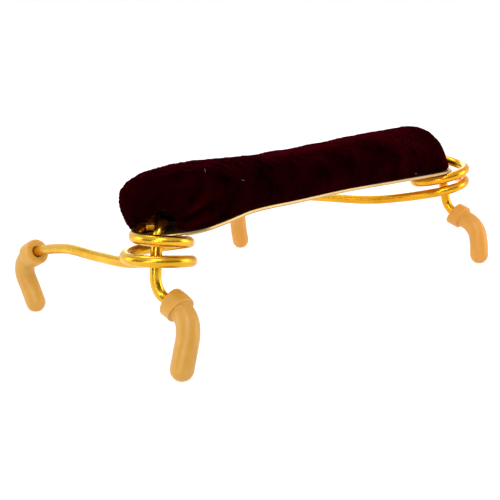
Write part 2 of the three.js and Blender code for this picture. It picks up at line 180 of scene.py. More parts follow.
def coil_height(side, angle, radius):
    over = float(smoothstep(angle, *side["step_angles"])) * side["step_down"]
    return side["level"] + side["pitch"] * angle / (2 * math.pi) + COIL_RISE * radius * math.cos(angle) + over


def coil_points(side):
    """The coil's turns, wound down from the end of the strip to where the long arm leaves."""
    start, end = math.radians(side["meet"] - LEAD_IN), math.radians(COIL_END)
    steps = round((start - end) / math.radians(COIL_STEP))
    points = []
    for i in range(steps):
        angle = start + (end - start) * i / steps
        wound = min(max(-angle / (2 * math.pi), 0), 1)
        radius = side["top_radius"] + (side["end_radius"] - side["top_radius"]) * wound
        shift = side["shift"][0] + (side["shift"][1] - side["shift"][0]) * wound
        height = coil_height(side, angle, radius)
        points.append(head_point(side, shift + radius * math.cos(angle), radius * math.sin(angle), height))
    return points


def crossing_points(side):
    """The half circle over the strip, from the top of the leg to the start of the coil."""
    meet = math.radians(side["meet"])
    small = side["top_radius"] / 2
    ring = coil_height(side, meet, side["top_radius"])
    points = []
    for turned, drop in CROSSING:
        angle = meet + math.pi * (1 - turned)
        outwards = small * (math.cos(meet) + math.cos(angle)) + side["shift"][0] * turned
        y = small * (math.sin(meet) + math.sin(angle))
        height = side["top_run"] + (ring - side["top_run"]) * turned**2 - drop
        points.append(head_point(side, outwards, y, height))
    return points


def catmull_rom(points, per_span=SPAN_STEPS):
    """A centripetal Catmull-Rom curve through the points, with `per_span` points for each gap."""
    p = np.array(points, float)
    ends = np.vstack([2 * p[0] - p[1], p, 2 * p[-1] - p[-2]])
    dense = []
    for i in range(len(p) - 1):
        a, b, c, d = ends[i : i + 4]
        d0, d1, d2 = (max(np.linalg.norm(v), 1e-4) ** 0.5 for v in (b - a, c - b, d - c))
        t1 = ((b - a) / d0 - (c - a) / (d0 + d1) + (c - b) / d1) * d1
        t2 = ((c - b) / d1 - (d - b) / (d1 + d2) + (d - c) / d2) * d1
        t = np.linspace(0, 1, per_span, endpoint=False)[:, None]
        dense.append(
            b + t1 * t + (-3 * b + 3 * c - 2 * t1 - t2) * t**2 + (2 * b - 2 * c + t1 + t2) * t**3
        )
    return np.vstack([*dense, p[-1:]])


class Route:
    """One side's whole wire, measured along its length from the short foot's tip to the long foot's tip."""

    def __init__(self, side):
        short = [ground_point(side, p) for p in [*side["short_foot"], side["short_mouth"]]]
        leg = [ground_point(side, p) for p in side["leg"]]
        crossing, coil = crossing_points(side), coil_points(side)
        arm = [ground_point(side, p) for p in side["arm"]]
        long = [ground_point(side, p) for p in [side["long_mouth"], *side["long_foot"]]]
        self.points = catmull_rom([*short, *leg, *crossing, *coil, *arm, *long])
        steps = np.linalg.norm(np.diff(self.points, axis=0), axis=1)
        self.marks = np.concatenate([[0], np.cumsum(steps)])
        self.length = self.marks[-1]
        start = len(short) + len(leg) + len(crossing)
        self.short_mouth = self.mark(len(short) - 1)
        self.coil_start = self.mark(start + 2)
        self.coil_end = self.mark(start + len(coil))
        self.long_mouth = self.mark(start + len(coil) + len(arm))

    def mark(self, index):
        """The distance along the wire of one of its given points."""
        return self.marks[index * SPAN_STEPS]

    def at(self, distance):
        return np.stack([np.interp(distance, self.marks, self.points[:, k]) for k in range(3)], -1)


# ---------------------------------------------------------------- mesh building


def new_piece(name, vertices, faces, material, smooth=35):
    mesh = bpy.data.meshes.new(name)
    mesh.from_pydata([tuple(v) for v in vertices], [], faces)
    piece = bpy.data.objects.new(name, mesh)
    bpy.context.scene.collection.objects.link(piece)
    mesh.materials.append(material)
    mesh.validate()
    finish_shading(piece, smooth)
    return piece


def finish_shading(piece, smooth=35):
    piece.data.polygons.foreach_set("use_smooth", [True] * len(piece.data.polygons))
    piece.data.set_sharp_from_angle(angle=math.radians(smooth))
    piece.data.update()


def path_frames(points):
    """Two directions square to a path at each of its points, carried along without twist."""
    tangents = np.gradient(points, axis=0)
    tangents /= np.linalg.norm(tangents, axis=1)[:, None]
    first = np.cross(tangents[0], [0.0, 0.3, 1.0])
    normals = [first / np.linalg.norm(first)]
    for tangent in tangents[1:]:
        carried = normals[-1] - tangent * (normals[-1] @ tangent)
        normals.append(carried / np.linalg.norm(carried))
    normals = np.array(normals)
    return normals, np.cross(tangents, normals)


def sweep(name, points, radii, sides, material, smooth=35):
    """A closed body of changing radius along a path, in millimetres."""
    normals, across = path_frames(points)
    return sweep_on(name, points, normals, across, radii, sides, material, smooth)


def sweep_on(name, centres, normals, across, radii, sides, material, smooth=35):
    turn = np.linspace(0, 2 * math.pi, sides, endpoint=False)
    ring = np.cos(turn)[None, :, None] * normals[:, None] + np.sin(turn)[None, :, None] * across[:, None]
    vertices = (centres[:, None] + np.asarray(radii, float)[:, None, None] * ring).reshape(-1, 3)
    count = len(centres)
    faces = []
    for k in range(count - 1):
        for i in range(sides):
            j = (i + 1) % sides
            faces.append((k * sides + i, k * sides + j, (k + 1) * sides + j, (k + 1) * sides + i))
    vertices = np.vstack([vertices, centres[:1], centres[-1:]])
    first, last = count * sides, count * sides + 1
    for i in range(sides):
        j = (i + 1) % sides
        faces.append((first, j, i))
        faces.append((last, (count - 1) * sides + i, (count - 1) * sides + j))
    piece = new_piece(name, to_frame(vertices), faces, material, smooth)
    mend_normals(piece)
    return piece


def mend_normals(piece):
    form = bmesh.new()
    form.from_mesh(piece.data)
    bmesh.ops.recalc_face_normals(form, faces=form.faces)
    form.to_mesh(piece.data)
    form.free()


def points_of(mesh):
    flat = np.empty(len(mesh.vertices) * 3)
    mesh.vertices.foreach_get("co", flat)
    return flat.reshape(-1, 3)


def normals_of(mesh):
    flat = np.empty(len(mesh.vertices) * 3)
    mesh.vertex_normals.foreach_get("vector", flat)
    return flat.reshape(-1, 3)


def move_points(mesh, points):
    mesh.vertices.foreach_set("co", np.ascontiguousarray(points, dtype=float).ravel())
    mesh.update()


def apply_modifiers(piece):
    evaluated = piece.evaluated_get(bpy.context.evaluated_depsgraph_get())
    mesh = bpy.data.meshes.new_from_object(evaluated)
    before = piece.data
    piece.modifiers.clear()
    piece.data = mesh
    bpy.data.meshes.remove(before)


def carve(piece, cutters, operation="DIFFERENCE"):
    for cutter in cutters:
        boolean = piece.modifiers.new("carve", "BOOLEAN")
        boolean.operation = operation
        boolean.solver = "MANIFOLD"
        boolean.object = cutter
    apply_modifiers(piece)
    for cutter in cutters:
        bpy.data.objects.remove(cutter)


def prism(name, outline, start, end, material):
    """A closed prism: the outline, a list of level-head points, carried from `start` to `end`."""
    count = len(outline)
    near, far = np.array(outline, float) + start, np.array(outline, float) + end
    faces = [tuple(range(count))[::-1], tuple(range(count, 2 * count))]
    for i in range(count):
        j = (i + 1) % count
        faces.append((i, j, j + count, i + count))
    piece = new_piece(name, to_frame(tilt(np.vstack([near, far]))), faces, material)
    mend_normals(piece)
    return piece


def drum(name, centre, radius, low, high, material):
    """An upright cylinder in the level head."""
    turn = np.linspace(0, 2 * math.pi, 32, endpoint=False)
    ring = [(centre[0] + radius * math.cos(a), centre[1] + radius * math.sin(a), 0) for a in turn]
    return prism(name, ring, (0, 0, low), (0, 0, high), material)


# ---------------------------------------------------------------- materials


class Nodes:
    """A material being put together: its Principled shader and short ways to add nodes."""

    def __init__(self, name):
        self.material = bpy.data.materials.new(name)
        self.material.use_nodes = True
        self.tree = self.material.node_tree
        self.shader = self.tree.nodes["Principled BSDF"]

    def add(self, kind, **settings):
        node = self.tree.nodes.new(kind)
        for key, value in settings.items():
            if key in node.inputs:
                node.inputs[key].default_value = value
            else:
                setattr(node, key, value)
        return node

    def link(self, out, into):
        self.tree.links.new(out, into)

    def set(self, **values):
        for key, value in values.items():
            self.shader.inputs[key.replace("_", " ")].default_value = value

    def place(self, scale=(1, 1, 1)):
        coordinate = self.add("ShaderNodeTexCoord")
        mapping = self.add("ShaderNodeMapping")
        mapping.inputs["Scale"].default_value = scale
        self.link(coordinate.outputs["Object"], mapping.inputs["Vector"])
        return mapping.outputs["Vector"]

    def noise(self, vector, scale, detail=3, roughness=0.5):
        node = self.add("ShaderNodeTexNoise", Scale=scale, Detail=detail, Roughness=roughness)
        self.link(vector, node.inputs["Vector"])
        return node.outputs["Fac"]

    def ramp(self, value, stops):
        node = self.add("ShaderNodeValToRGB")
        elements = node.color_ramp.elements
        while len(elements) < len(stops):
            elements.new(0.5)
        for element, (position, colour) in zip(elements, stops):
            element.position = position
            element.color = (*colour, 1) if len(colour) == 3 else colour
        self.link(value, node.inputs["Fac"])
        return node.outputs["Color"]

    def spread(self, value, low, high):
        node = self.add("ShaderNodeMapRange")
        node.inputs["To Min"].default_value = low
        node.inputs["To Max"].default_value = high
        self.link(value, node.inputs["Value"])
        return node.outputs["Result"]

    def bump(self, height, strength, distance, normal=None):
        node = self.add("ShaderNodeBump", Strength=strength, Distance=distance)
        self.link(height, node.inputs["Height"])
        if normal is not None:
            self.link(normal, node.inputs["Normal"])
        return node.outputs["Normal"]


def gold_wire(name, dark, pale):
    m = Nodes(name)
    place = m.place()
    m.set(Metallic=1.0)
    tone = m.noise(place, 90, 4)
    m.link(m.ramp(tone, [(0.3, dark), (0.7, pale)]), m.shader.inputs["Base Color"])
    haze = m.noise(place, 450, 5, 0.6)
    m.link(m.spread(haze, 0.19, 0.34), m.shader.inputs["Roughness"])
    waves = m.bump(m.noise(place, 110, 2), 0.07, 0.0008)
    m.link(m.bump(m.noise(place, 1800, 3, 0.7), 0.08, 0.0001, waves), m.shader.inputs["Normal"])
    return m.material


def pale_brass():
    m = Nodes("pale_brass")
    m.set(Metallic=1.0)
    place = m.place((1, 14, 14))
    tone = m.noise(m.place(), 60, 4)
    colour = m.ramp(tone, [(0.3, (0.42, 0.28, 0.125)), (0.7, (0.53, 0.37, 0.18))])
    m.link(colour, m.shader.inputs["Base Color"])
    rolled = m.noise(place, 220, 4, 0.7)
    m.link(m.spread(rolled, 0.26, 0.46), m.shader.inputs["Roughness"])
    m.link(m.bump(rolled, 0.15, 0.0001), m.shader.inputs["Normal"])
    return m.material


def latex(name, dark, pale):
    m = Nodes(name)
    place = m.place()
    cloud = m.noise(place, 70, 4, 0.6)
    m.link(m.ramp(cloud, [(0.25, dark), (0.75, pale)]), m.shader.inputs["Base Color"])
    m.set(Subsurface_Weight=0.2, Subsurface_Scale=0.004, Specular_IOR_Level=0.55)
    m.shader.inputs["Subsurface Radius"].default_value = (1.0, 0.5, 0.2)
    m.link(m.spread(m.noise(place, 600, 4), 0.3, 0.48), m.shader.inputs["Roughness"])
    skin = m.bump(m.noise(place, 900, 4, 0.6), 0.2, 0.0001)
    m.link(m.bump(m.noise(place, 120, 2), 0.2, 0.0005, skin), m.shader.inputs["Normal"])
    return m.material


def velvet():
    """Dark pile, with painted sheen on the ridges of the folds and painted shade in their hollows, and a
    plain back inside the opening, coloured pale there as painted light.
    """
    m = Nodes("velvet")
    place = m.place()
    nap = m.noise(place, 75, 6, 0.68)
    crease_sheen_and_shade = m.add("ShaderNodeAttribute", attribute_name="crease_sheen_and_shade")
    pile_and_crease_sheen = m.add("ShaderNodeMath", operation="MULTIPLY_ADD")
    pile_and_crease_sheen.inputs[1].default_value = 0.3
    m.link(crease_sheen_and_shade.outputs["Fac"], pile_and_crease_sheen.inputs[0])
    m.link(nap, pile_and_crease_sheen.inputs[2])
    # painted sheen and shade: crease ridges lighten towards a redder colour and crease hollows darken,
    # standing in for light on the folds
    dark, middle, painted_sheen_red = (0.0010, 0.0, 0.0001), (0.015, 0.0002, 0.0006), (0.047, 0.0008, 0.0024)
    face = m.ramp(pile_and_crease_sheen.outputs["Value"], [(0.34, dark), (0.74, middle), (1.0, painted_sheen_red)])
    # the cloth's plain back, partly its own colour and partly painted light: pale so the shaded opening and
    # its reflections in the wire look lit
    back = m.ramp(m.noise(place, 900, 3), [(0.3, (0.20, 0.08, 0.03)), (0.7, (0.33, 0.14, 0.055))])
    lit_lining = m.add("ShaderNodeAttribute", attribute_name="lit_lining")
    mix = m.add("ShaderNodeMix", data_type="RGBA")
    m.link(lit_lining.outputs["Fac"], mix.inputs["Factor"])
    m.link(face, mix.inputs["A"])
    m.link(back, mix.inputs["B"])
    m.link(mix.outputs["Result"], m.shader.inputs["Base Color"])
    m.set(Roughness=1.0, Specular_IOR_Level=0.0, Sheen_Weight=0.25, Sheen_Roughness=0.17)
    m.shader.inputs["Sheen Tint"].default_value = (0.56, 0.012, 0.06, 1)
    pile = m.bump(m.noise(place, 1600, 4, 0.7), 0.6, 0.0004)
    m.link(m.bump(m.noise(place, 180, 3, 0.6), 0.4, 0.0008, pile), m.shader.inputs["Normal"])
    return m.material


def lint_fibre():
    m = Nodes("lint")
    tone = m.noise(m.place(), 900, 2)
    colour = m.ramp(tone, [(0.3, (0.16, 0.12, 0.12)), (0.7, (0.34, 0.27, 0.26))])
    m.link(colour, m.shader.inputs["Base Color"])
    m.set(Roughness=0.8, Sheen_Weight=0.3)
    return m.material


BRASS, VELVET, LINT_GREY = pale_brass(), velvet(), lint_fibre()
# two copies of one gold: the right one is more orange, painting the warmer light that falls on the right end
GOLD = {
    "left": gold_wire("gold_wire", (0.66, 0.34, 0.017), (0.84, 0.495, 0.048)),
    "right": gold_wire("gold_wire_painted_warm_light", (0.66, 0.285, 0.009), (0.84, 0.42, 0.026)),
}
# two copies of one latex: the right one paler and more orange as painted warm light, the left one darker as
# painted shade
LATEX = {
    "left": latex("latex", (0.51, 0.258, 0.026), (0.645, 0.33, 0.045)),
    "right": latex("latex_painted_warm_light", (0.61, 0.268, 0.025), (0.755, 0.341, 0.043)),
}

# ---------------------------------------------------------------- wires


WIRE_STEP = 0.9
WIRE_SIDES = 32


def wire(name, route, start, end):
    count = max(8, round((end - start) / WIRE_STEP))
    points = route.at(np.linspace(start, end, count))
    return sweep(name, points, np.full(count, WIRE_RADIUS), WIRE_SIDES, GOLD[name.split("_")[0]], 50)


def side_wires(name, route):
    leg = wire(f"{name}_leg", route, route.short_mouth - WIRE_IN_SLEEVE, route.coil_start)
    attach(leg, "frame")
    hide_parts(f"{name}_leg_wire")
    spring = wire(f"{name}_spring", route, route.coil_start, route.long_mouth + WIRE_IN_SLEEVE)
    top, bottom = to_frame(route.at(route.coil_start)), to_frame(route.at(route.coil_end))
    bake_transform(spring)
    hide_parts(f"{name}_spring_coil", f"{name}_arm_wire")


# ---------------------------------------------------------------- rubber feet


SLEEVE_SIDES = 48
BORE = WIRE_RADIUS + 0.12
CUFF_LIP = 0.75  # rounding of the cuff's mouth
CUFF_EDGE = 0.45  # rounding of its other edge
FRAME_STEP = 0.5  # spacing of the directions carried along a foot


def foot_profile(length):
    """Distance from the mouth and radius, from the bottom of the bore out over the cuff to the tip."""
    profile = [(WIRE_IN_SLEEVE + 0.3, 0.4), (WIRE_IN_SLEEVE + 0.3, BORE)]
    profile += [(s, BORE) for s in np.arange(WIRE_IN_SLEEVE - 1, 1.0, -1.5)]
    profile += [(0.6, BORE + 0.05), (0.15, BORE + 0.3), (0.0, BORE + 0.7)]
    for angle in np.radians(np.arange(0, 91, 15)):
        reach = CUFF_RADIUS - CUFF_LIP + CUFF_LIP * math.sin(angle)
        profile.append((CUFF_LIP - CUFF_LIP * math.cos(angle), reach))
    profile += [(s, CUFF_RADIUS) for s in (1.6, 2.6, 3.6, 4.4)]
    for angle in np.radians(np.arange(0, 91, 22.5)):
        reach = CUFF_RADIUS - CUFF_EDGE + CUFF_EDGE * math.cos(angle)
        profile.append((CUFF_LENGTH - CUFF_EDGE + CUFF_EDGE * math.sin(angle), reach))
    profile += [(CUFF_LENGTH + 0.05, SLEEVE_RADIUS + 0.25), (CUFF_LENGTH + 0.3, SLEEVE_RADIUS + 0.05)]
    profile += [(s, SLEEVE_RADIUS) for s in np.arange(CUFF_LENGTH + 0.8, length, 0.7)]
    for angle in np.radians(np.arange(0, 90, 7.5)):
        profile.append((length + SLEEVE_RADIUS * math.sin(angle), SLEEVE_RADIUS * math.cos(angle)))
    profile.append((length + SLEEVE_RADIUS * 0.999, 0.1))
    return profile


def foot_centres(route, mouth, inwards, length, samples):
    """The foot's middle line, carried straight on past the tip and a little past the mouth."""
    centres = route.at(mouth + inwards * np.clip(samples, 0, length))
    last = centres[samples <= length]
    heading = last[-1] - last[-4]
    heading /= np.linalg.norm(heading)
    centres += np.maximum(samples - length, 0)[:, None] * heading
    back = centres[2] - centres[6]
    back /= np.linalg.norm(back)
    centres += np.maximum(-samples, 0)[:, None] * back
    return centres


def rubber_foot(name, body, route, mouth, tip):
    """A rubber finger over the wire's end, closed at the tip, with a flat where it stands."""
    inwards = 1 if tip > mouth else -1
    length = abs(tip - mouth)
    profile = foot_profile(length)
    along = np.array([s for s, _ in profile])
    radii = [r for _, r in profile]
    samples = np.arange(-1.0, length + SLEEVE_RADIUS + 1, FRAME_STEP)
    centres = foot_centres(route, mouth, inwards, length, samples)
    placed = [
        np.stack([np.interp(along, samples, values[:, k]) for k in range(3)], -1)
        for values in (centres, *path_frames(centres))
    ]
    piece = sweep_on(name, *placed, radii, SLEEVE_SIDES, LATEX[name.split("_")[0]], 40)
    for vertex in piece.data.vertices:
        vertex.co.z = max(vertex.co.z, 0.0)
    finish_shading(piece, 40)
    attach(piece, body)
    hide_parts(f"{name}_foot")


ROUTES = {side_name: Route(side) for side_name, side in SIDES.items()}
for side_name, route in ROUTES.items():
    side_wires(side_name, route)
    rubber_foot(f"{side_name}_short", "frame", route, route.short_mouth, 0)
    rubber_foot(f"{side_name}_long", f"{side_name}_arm", route, route.long_mouth, route.length)

# ---------------------------------------------------------------- strip


def outline(along_count, end_count):
    """Stations round the strip: a point on its spine and the outward direction."""
    (x0, y0), (x1, y1) = STRIP_CENTRES
    heading = math.atan2(y1 - y0, x1 - x0)
    spine, angles = [], []
    for i in range(along_count):
        t = i / along_count
        spine.append((x0 + (x1 - x0) * t, y0 + (y1 - y0) * t))
        angles.append(heading - math.pi / 2)
    for i in range(end_count):
        spine.append((x1, y1))
        angles.append(heading + math.pi * (i / end_count - 0.5))
    for i in range(along_count):
        t = i / along_count
        spine.append((x1 + (x0 - x1) * t, y1 + (y0 - y1) * t))
        angles.append(heading + math.pi / 2)
    for i in range(end_count):
        spine.append((x0, y0))
        angles.append(heading + math.pi * (i / end_count + 0.5))
    angles = np.array(angles)
    return np.array(spine), np.stack([np.cos(angles), np.sin(angles)], -1)


def ringed_solid(name, rings, spine, outward, material, smooth=35):
    """A closed body over the strip's outline. Each ring is a function of (spine, outward) giving x, y, z."""
    vertices = np.vstack([ring(spine, outward) for ring in rings])
    count = len(spine)
    faces = []
    for k in range(len(rings) - 1):
        for i in range(count):
            j = (i + 1) % count
            faces.append((k * count + i, k * count + j, (k + 1) * count + j, (k + 1) * count + i))
    piece = new_piece(name, to_frame(tilt(vertices)), faces, material, smooth)
    form = bmesh.new()
    form.from_mesh(piece.data)
    bmesh.ops.remove_doubles(form, verts=form.verts, dist=2e-6)
    bmesh.ops.dissolve_degenerate(form, edges=form.edges, dist=1e-7)
    bmesh.ops.recalc_face_normals(form, faces=form.faces)
    form.to_mesh(piece.data)
    form.free()
    finish_shading(piece, smooth)
    return piece


STRIP_EDGE = ((0.4, 0), (0.1, 0.1), (0, 0.35))  # in from the strip's edge, up from its face


def strip():
    def ring(reach, lift, from_top):
        def place(spine, outward):
            xy = spine + outward * reach
            base = strip_top(xy[:, 0]) if from_top else strip_under(xy[:, 0])
            return np.column_stack([xy, base + lift])

        return place

    w = STRIP_HALF_WIDTH
    rings = [ring(0, 0, False), ring(w * 0.5, 0, False)]
    rings += [ring(w - inwards, lift, False) for inwards, lift in STRIP_EDGE]
    rings += [ring(w - inwards, -lift, True) for inwards, lift in reversed(STRIP_EDGE)]
    rings += [ring(w * 0.5, 0, True), ring(0, 0, True)]
    spine, outward = outline(120, 40)
    return ringed_solid("strip", rings, spine, outward, BRASS, 40)


def wire_space(route, start, end, clearance):
    count = round((end - start) / 1.5)
    points = route.at(np.linspace(start, end, count))
    return sweep("space", points, np.full(count, WIRE_RADIUS + clearance), 24, BRASS)


HOLE_REACH = 12  # a hole's cutter above and below the level head
RELIEF = (-26, 42)  # along the wire from the start of its coil
RELIEF_CLEARANCE = 0.48


def rivet_place(name):
    """The middle of a side's rivet in the level head."""
    low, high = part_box(f"{name}_clip_rivet")
    return level([(Vector(low) + Vector(high)) / 2])[0][:2]


def strip_openings():
    """Holes for the legs and the rivets, and the relief under the wire where it steps over the end."""
    cutters = []
    for name, side in SIDES.items():
        axis = (side["out"] * SPRING_SPACING / 2, 0)
        for place, radius in ((axis, LEG_HOLE_RADIUS), (rivet_place(name), RIVET_HOLE_RADIUS)):
            cutters.append(drum("hole", place, radius, -HOLE_REACH, HOLE_REACH, BRASS))
        route = ROUTES[name]
        start, end = (route.coil_start + reach for reach in RELIEF)
        cutters.append(wire_space(route, start, end, RELIEF_CLEARANCE))
    return cutters


strip_piece = strip()
carve(strip_piece, strip_openings())
finish_shading(strip_piece, 40)
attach(strip_piece, "frame")
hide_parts("base_plate")

# ---------------------------------------------------------------- cushion

CUSHION_HEIGHT = [
    (-100, 20.3), (-76, 20.0), (-50, 17.1), (0, 16.6), (40, 19.1), (60, 19.9), (74, 20.9), (86, 20.1),
    (102, 10.4),
]
CUSHION_TAPER = 7.1
TAPER_START = 30
POCKET_HEIGHT = 8.6
POCKET_DROP = 8.0  # how far a pocket's cutter starts below the strip's top
POCKET_SINK = 0.4  # lowers each pocket so that it opens cleanly through the underside
POCKET_MARGIN = 3.2  # beyond the coil's top turn
CLIP_POCKET_RADIUS = 5.0
WALL = 2.6  # left between the pockets and the outside
VOXEL = 1.4
POCKET_VOXEL = 2.0
HEM_HEIGHT = 0.9  # the velvet is held to the strip below this
BURIED = 1.0  # points this far inside the outer form line the opening and the pockets
SWELL_LIMIT = 0.9
LIT_LINING_DEPTHS = (2.2, 3.4)  # where the pile gives way to the cloth's plain back, coloured pale as painted light in the shaded opening
NOTCH_HEADING = math.radians(-49)
NOTCH_DEPTH = 24
NOTCH_INSIDE = 8
NOTCH_ARCH = [  # across, height
    (-13, -4), (-13, 3.4), (-8.4, 4.2), (-6.8, 4.9), (-3.7, 6.0), (-1.2, 7.7), (0.8, 9.3), (2.5, 10.9),
    (4.1, 11.2), (5.4, 9.8), (6.3, 7.2), (6.9, 4.6), (7.2, 2.4), (7.4, 0.7), (7.5, -4),
]
CREASES = [  # from and to as (x, height over the strip), height of the fold, its width
    ((-89.0, 4.6), (-80.0, 7.5), -0.9, 1.4),
    ((-90.0, 7.5), (-83.0, 15.5), -0.6, 1.6),
    ((-89.0, 6.4), (-80.5, 12.0), 0.8, 1.7),
    ((-88.0, 2.4), (-76.0, 3.6), 0.8, 1.5),
    ((-72.0, 4.0), (-62.0, 12.0), -0.3, 2.6),
    ((-40.0, 6.0), (-30.0, 12.0), -0.25, 3.0),
]
TUFT, CLUMP, UNEVEN = (0.42, 0.95), (0.3, 0.33), (0.45, 0.07)  # height and how closely they follow each other
RUFFLED = (-75, -10)  # the pile grows calmer between these x
CALMED_BY = 0.45


def cushion_form(inset=0.0, along=110, ends=36):
    """The cushion's crowned closed form, from the middle of its underside out, up and over to its ridge."""
    controls = [  # reach past the half width, share of the height, taper at the right end
        (-STRIP_HALF_WIDTH, 0.0, 0.0), (-8.0, 0.0, 0.0), (-0.6, 0.0, 0.0), (0.0, 0.02, 0.02), (0.3, 0.1, 0.2),
        (1.2, 0.22, 0.4), (2.7, 0.42, 0.7), (2.8, 0.62, 0.9), (1.0, 0.79, 1.0), (-2.4, 0.91, 1.0),
        (-6.5, 0.975, 0.85), (-11.0, 0.998, 0.45), (-STRIP_HALF_WIDTH, 1.0, 0.0),
    ]
    fine = catmull_rom([(a, b * 20, c * 10) for a, b, c in controls], 4)
    rings = []
    for reach, share, taper in fine:
        def place(spine, outward, reach=reach, share=share / 20, taper=taper / 10):
            drawn = CUSHION_TAPER * taper * smoothstep(spine[:, 0], TAPER_START, STRIP_CENTRES[1][0])
            distance = np.maximum(STRIP_HALF_WIDTH + reach - drawn - inset, 0)
            xy = spine + outward * distance[:, None]
            foot = strip_top(xy[:, 0]) + 0.25
            crown = strip_top(xy[:, 0]) + smooth_line(CUSHION_HEIGHT, xy[:, 0]) - inset
            return np.column_stack([xy, foot + (crown - foot) * share])

        rings.append(place)
    spine, outward = outline(along, ends)
    return ringed_solid("cushion", rings, spine, outward, VELVET, 60)


def notch():
    """The arch where the velvet is cut back around the left wire, run in at a slant."""
    forward = np.array([math.sin(NOTCH_HEADING), -math.cos(NOTCH_HEADING), 0])
    across = np.array([math.cos(NOTCH_HEADING), math.sin(NOTCH_HEADING), 0])
    centre = np.array([-SPRING_SPACING / 2, 0, 0])
    ring = [centre + a * across + h * np.array([0, 0, 1]) for a, h in NOTCH_ARCH]
    return prism("notch", ring, -NOTCH_INSIDE * forward, (NOTCH_DEPTH - NOTCH_INSIDE) * forward, VELVET)


def pockets():
    """The hollows over the wire, the clip and the rivet on both sides, kept off the outside by a wall."""
    hollows = []
    for name, side in SIDES.items():
        axis = (side["out"] * SPRING_SPACING / 2, 0)
        hollow = cushion_form(WALL, 60, 20)
        remesh(hollow, POCKET_VOXEL)
        base = strip_top(axis[0])[0]
        low, high = base - POCKET_DROP, base + POCKET_HEIGHT
        over_wire = drum("over_wire", axis, side["top_radius"] + POCKET_MARGIN, low, high, VELVET)
        over_clip = drum("over_clip", rivet_place(name), CLIP_POCKET_RADIUS, low, high, VELVET)
        carve(over_wire, [over_clip], "UNION")
        carve(hollow, [over_wire], "INTERSECT")
        hollow.location.z = -POCKET_SINK * MM
        hollows.append(hollow)
    return hollows


def remesh(piece, voxel):
    modifier = piece.modifiers.new("remesh", "REMESH")
    modifier.mode = "VOXEL"
    modifier.voxel_size = voxel * MM
    apply_modifiers(piece)


def relax(piece, rounds):
    modifier = piece.modifiers.new("relax", "SMOOTH")
    modifier.factor = 0.5
    modifier.iterations = rounds
    apply_modifiers(piece)


CLOTH_FRAMES = 20
CLOTH = dict(
    use_pressure=True, uniform_pressure_force=4, quality=5, mass=0.3,
    tension_stiffness=12, compression_stiffness=12, bending_stiffness=0.4,
)


def puff(piece, held, most):
    """Swells the velvet as cloth under pressure. `held` points stay, and none moves more than `most` mm."""
    before = points_of(piece.data)
    pins = piece.vertex_groups.new(name="held")
    pins.add([int(i) for i in np.flatnonzero(held)], 1.0, "REPLACE")
    cloth = piece.modifiers.new("cloth", "CLOTH")
    cloth.settings.vertex_group_mass = "held"
    for setting, value in CLOTH.items():
        setattr(cloth.settings, setting, value)
    cloth.settings.effector_weights.gravity = 0
    cloth.point_cache.frame_start = 1
    cloth.point_cache.frame_end = CLOTH_FRAMES
    for number in range(1, CLOTH_FRAMES + 1):
        bpy.context.scene.frame_set(number)
    evaluated = piece.evaluated_get(bpy.context.evaluated_depsgraph_get())
    moved = points_of(evaluated.data) - before
    piece.modifiers.clear()
    piece.vertex_groups.clear()
    bpy.context.scene.frame_set(1)
    length = np.linalg.norm(moved, axis=1)[:, None] / MM
    move_points(piece.data, before + moved * np.minimum(1, most / np.maximum(length, 1e-6)))


def fold(piece):
    """Presses the creases round the opening into the near side, and marks them for painted light: painted
    sheen on the ridges and painted shade in the hollows.
    """
    points, normals = points_of(piece.data), normals_of(piece.data)
    head = level(points)
    over = head[:, 2] - strip_top(head[:, 0])
    facing = np.clip(-normals[:, 1] * 1.6, 0, 1)
    lift = np.zeros(len(points))
    for start, end, height, width in CREASES:
        way = np.array(end) - start
        flat = np.column_stack([head[:, 0], over]) - start
        t = np.clip(flat @ way / (way @ way), 0, 1)
        distance = np.linalg.norm(flat - t[:, None] * way, axis=1)
        lift += height * np.sqrt(1 - t) * np.exp(-((distance / width) ** 2))
    move_points(piece.data, points + normals * (lift * facing)[:, None] * MM)
    # painted sheen and shade: the crease lift is kept to lighten the ridges and darken the hollows in the
    # velvet's colour
    crease_sheen_and_shade = piece.data.attributes.new("crease_sheen_and_shade", "FLOAT", "POINT")
    crease_sheen_and_shade.data.foreach_set("value", np.clip(lift * facing, -1, 1))


def raise_pile(piece):
    """Uneven nap: small tufts in larger clumps, calmer towards the right, over a slowly uneven padding."""
    points, normals = points_of(piece.data), normals_of(piece.data)
    head = level(points)
    over = head[:, 2] - strip_top(head[:, 0])
    free = np.clip(over / 1.5, 0, 1)
    ruffled = 1 - CALMED_BY * smoothstep(head[:, 0], *RUFFLED)
    lift = np.empty(len(points))
    for i, (x, y, z) in enumerate(head):
        tuft = TUFT[0] * noise.noise(Vector((x, y, z)) * TUFT[1])
        clump = CLUMP[0] * noise.noise(Vector((x + 50, y, z)) * CLUMP[1])
        slow = UNEVEN[0] * noise.noise(Vector((x, y + 90, z)) * UNEVEN[1])
        lift[i] = (tuft + clump) * ruffled[i] + slow
    move_points(piece.data, points + normals * (lift * free)[:, None] * MM)


def mark_lit_lining(piece, surface):
    """Marks what lies inside the opening, where the cloth's plain back shows instead of its pile, coloured
    pale there as painted light in that shaded hollow.
    """
    lit_lining = piece.data.attributes.new("lit_lining", "FLOAT", "POINT")
    depths = np.array([surface.find_nearest(p)[3] / MM for p in points_of(piece.data)])
    lit_lining.data.foreach_set("value", smoothstep(depths, *LIT_LINING_DEPTHS))


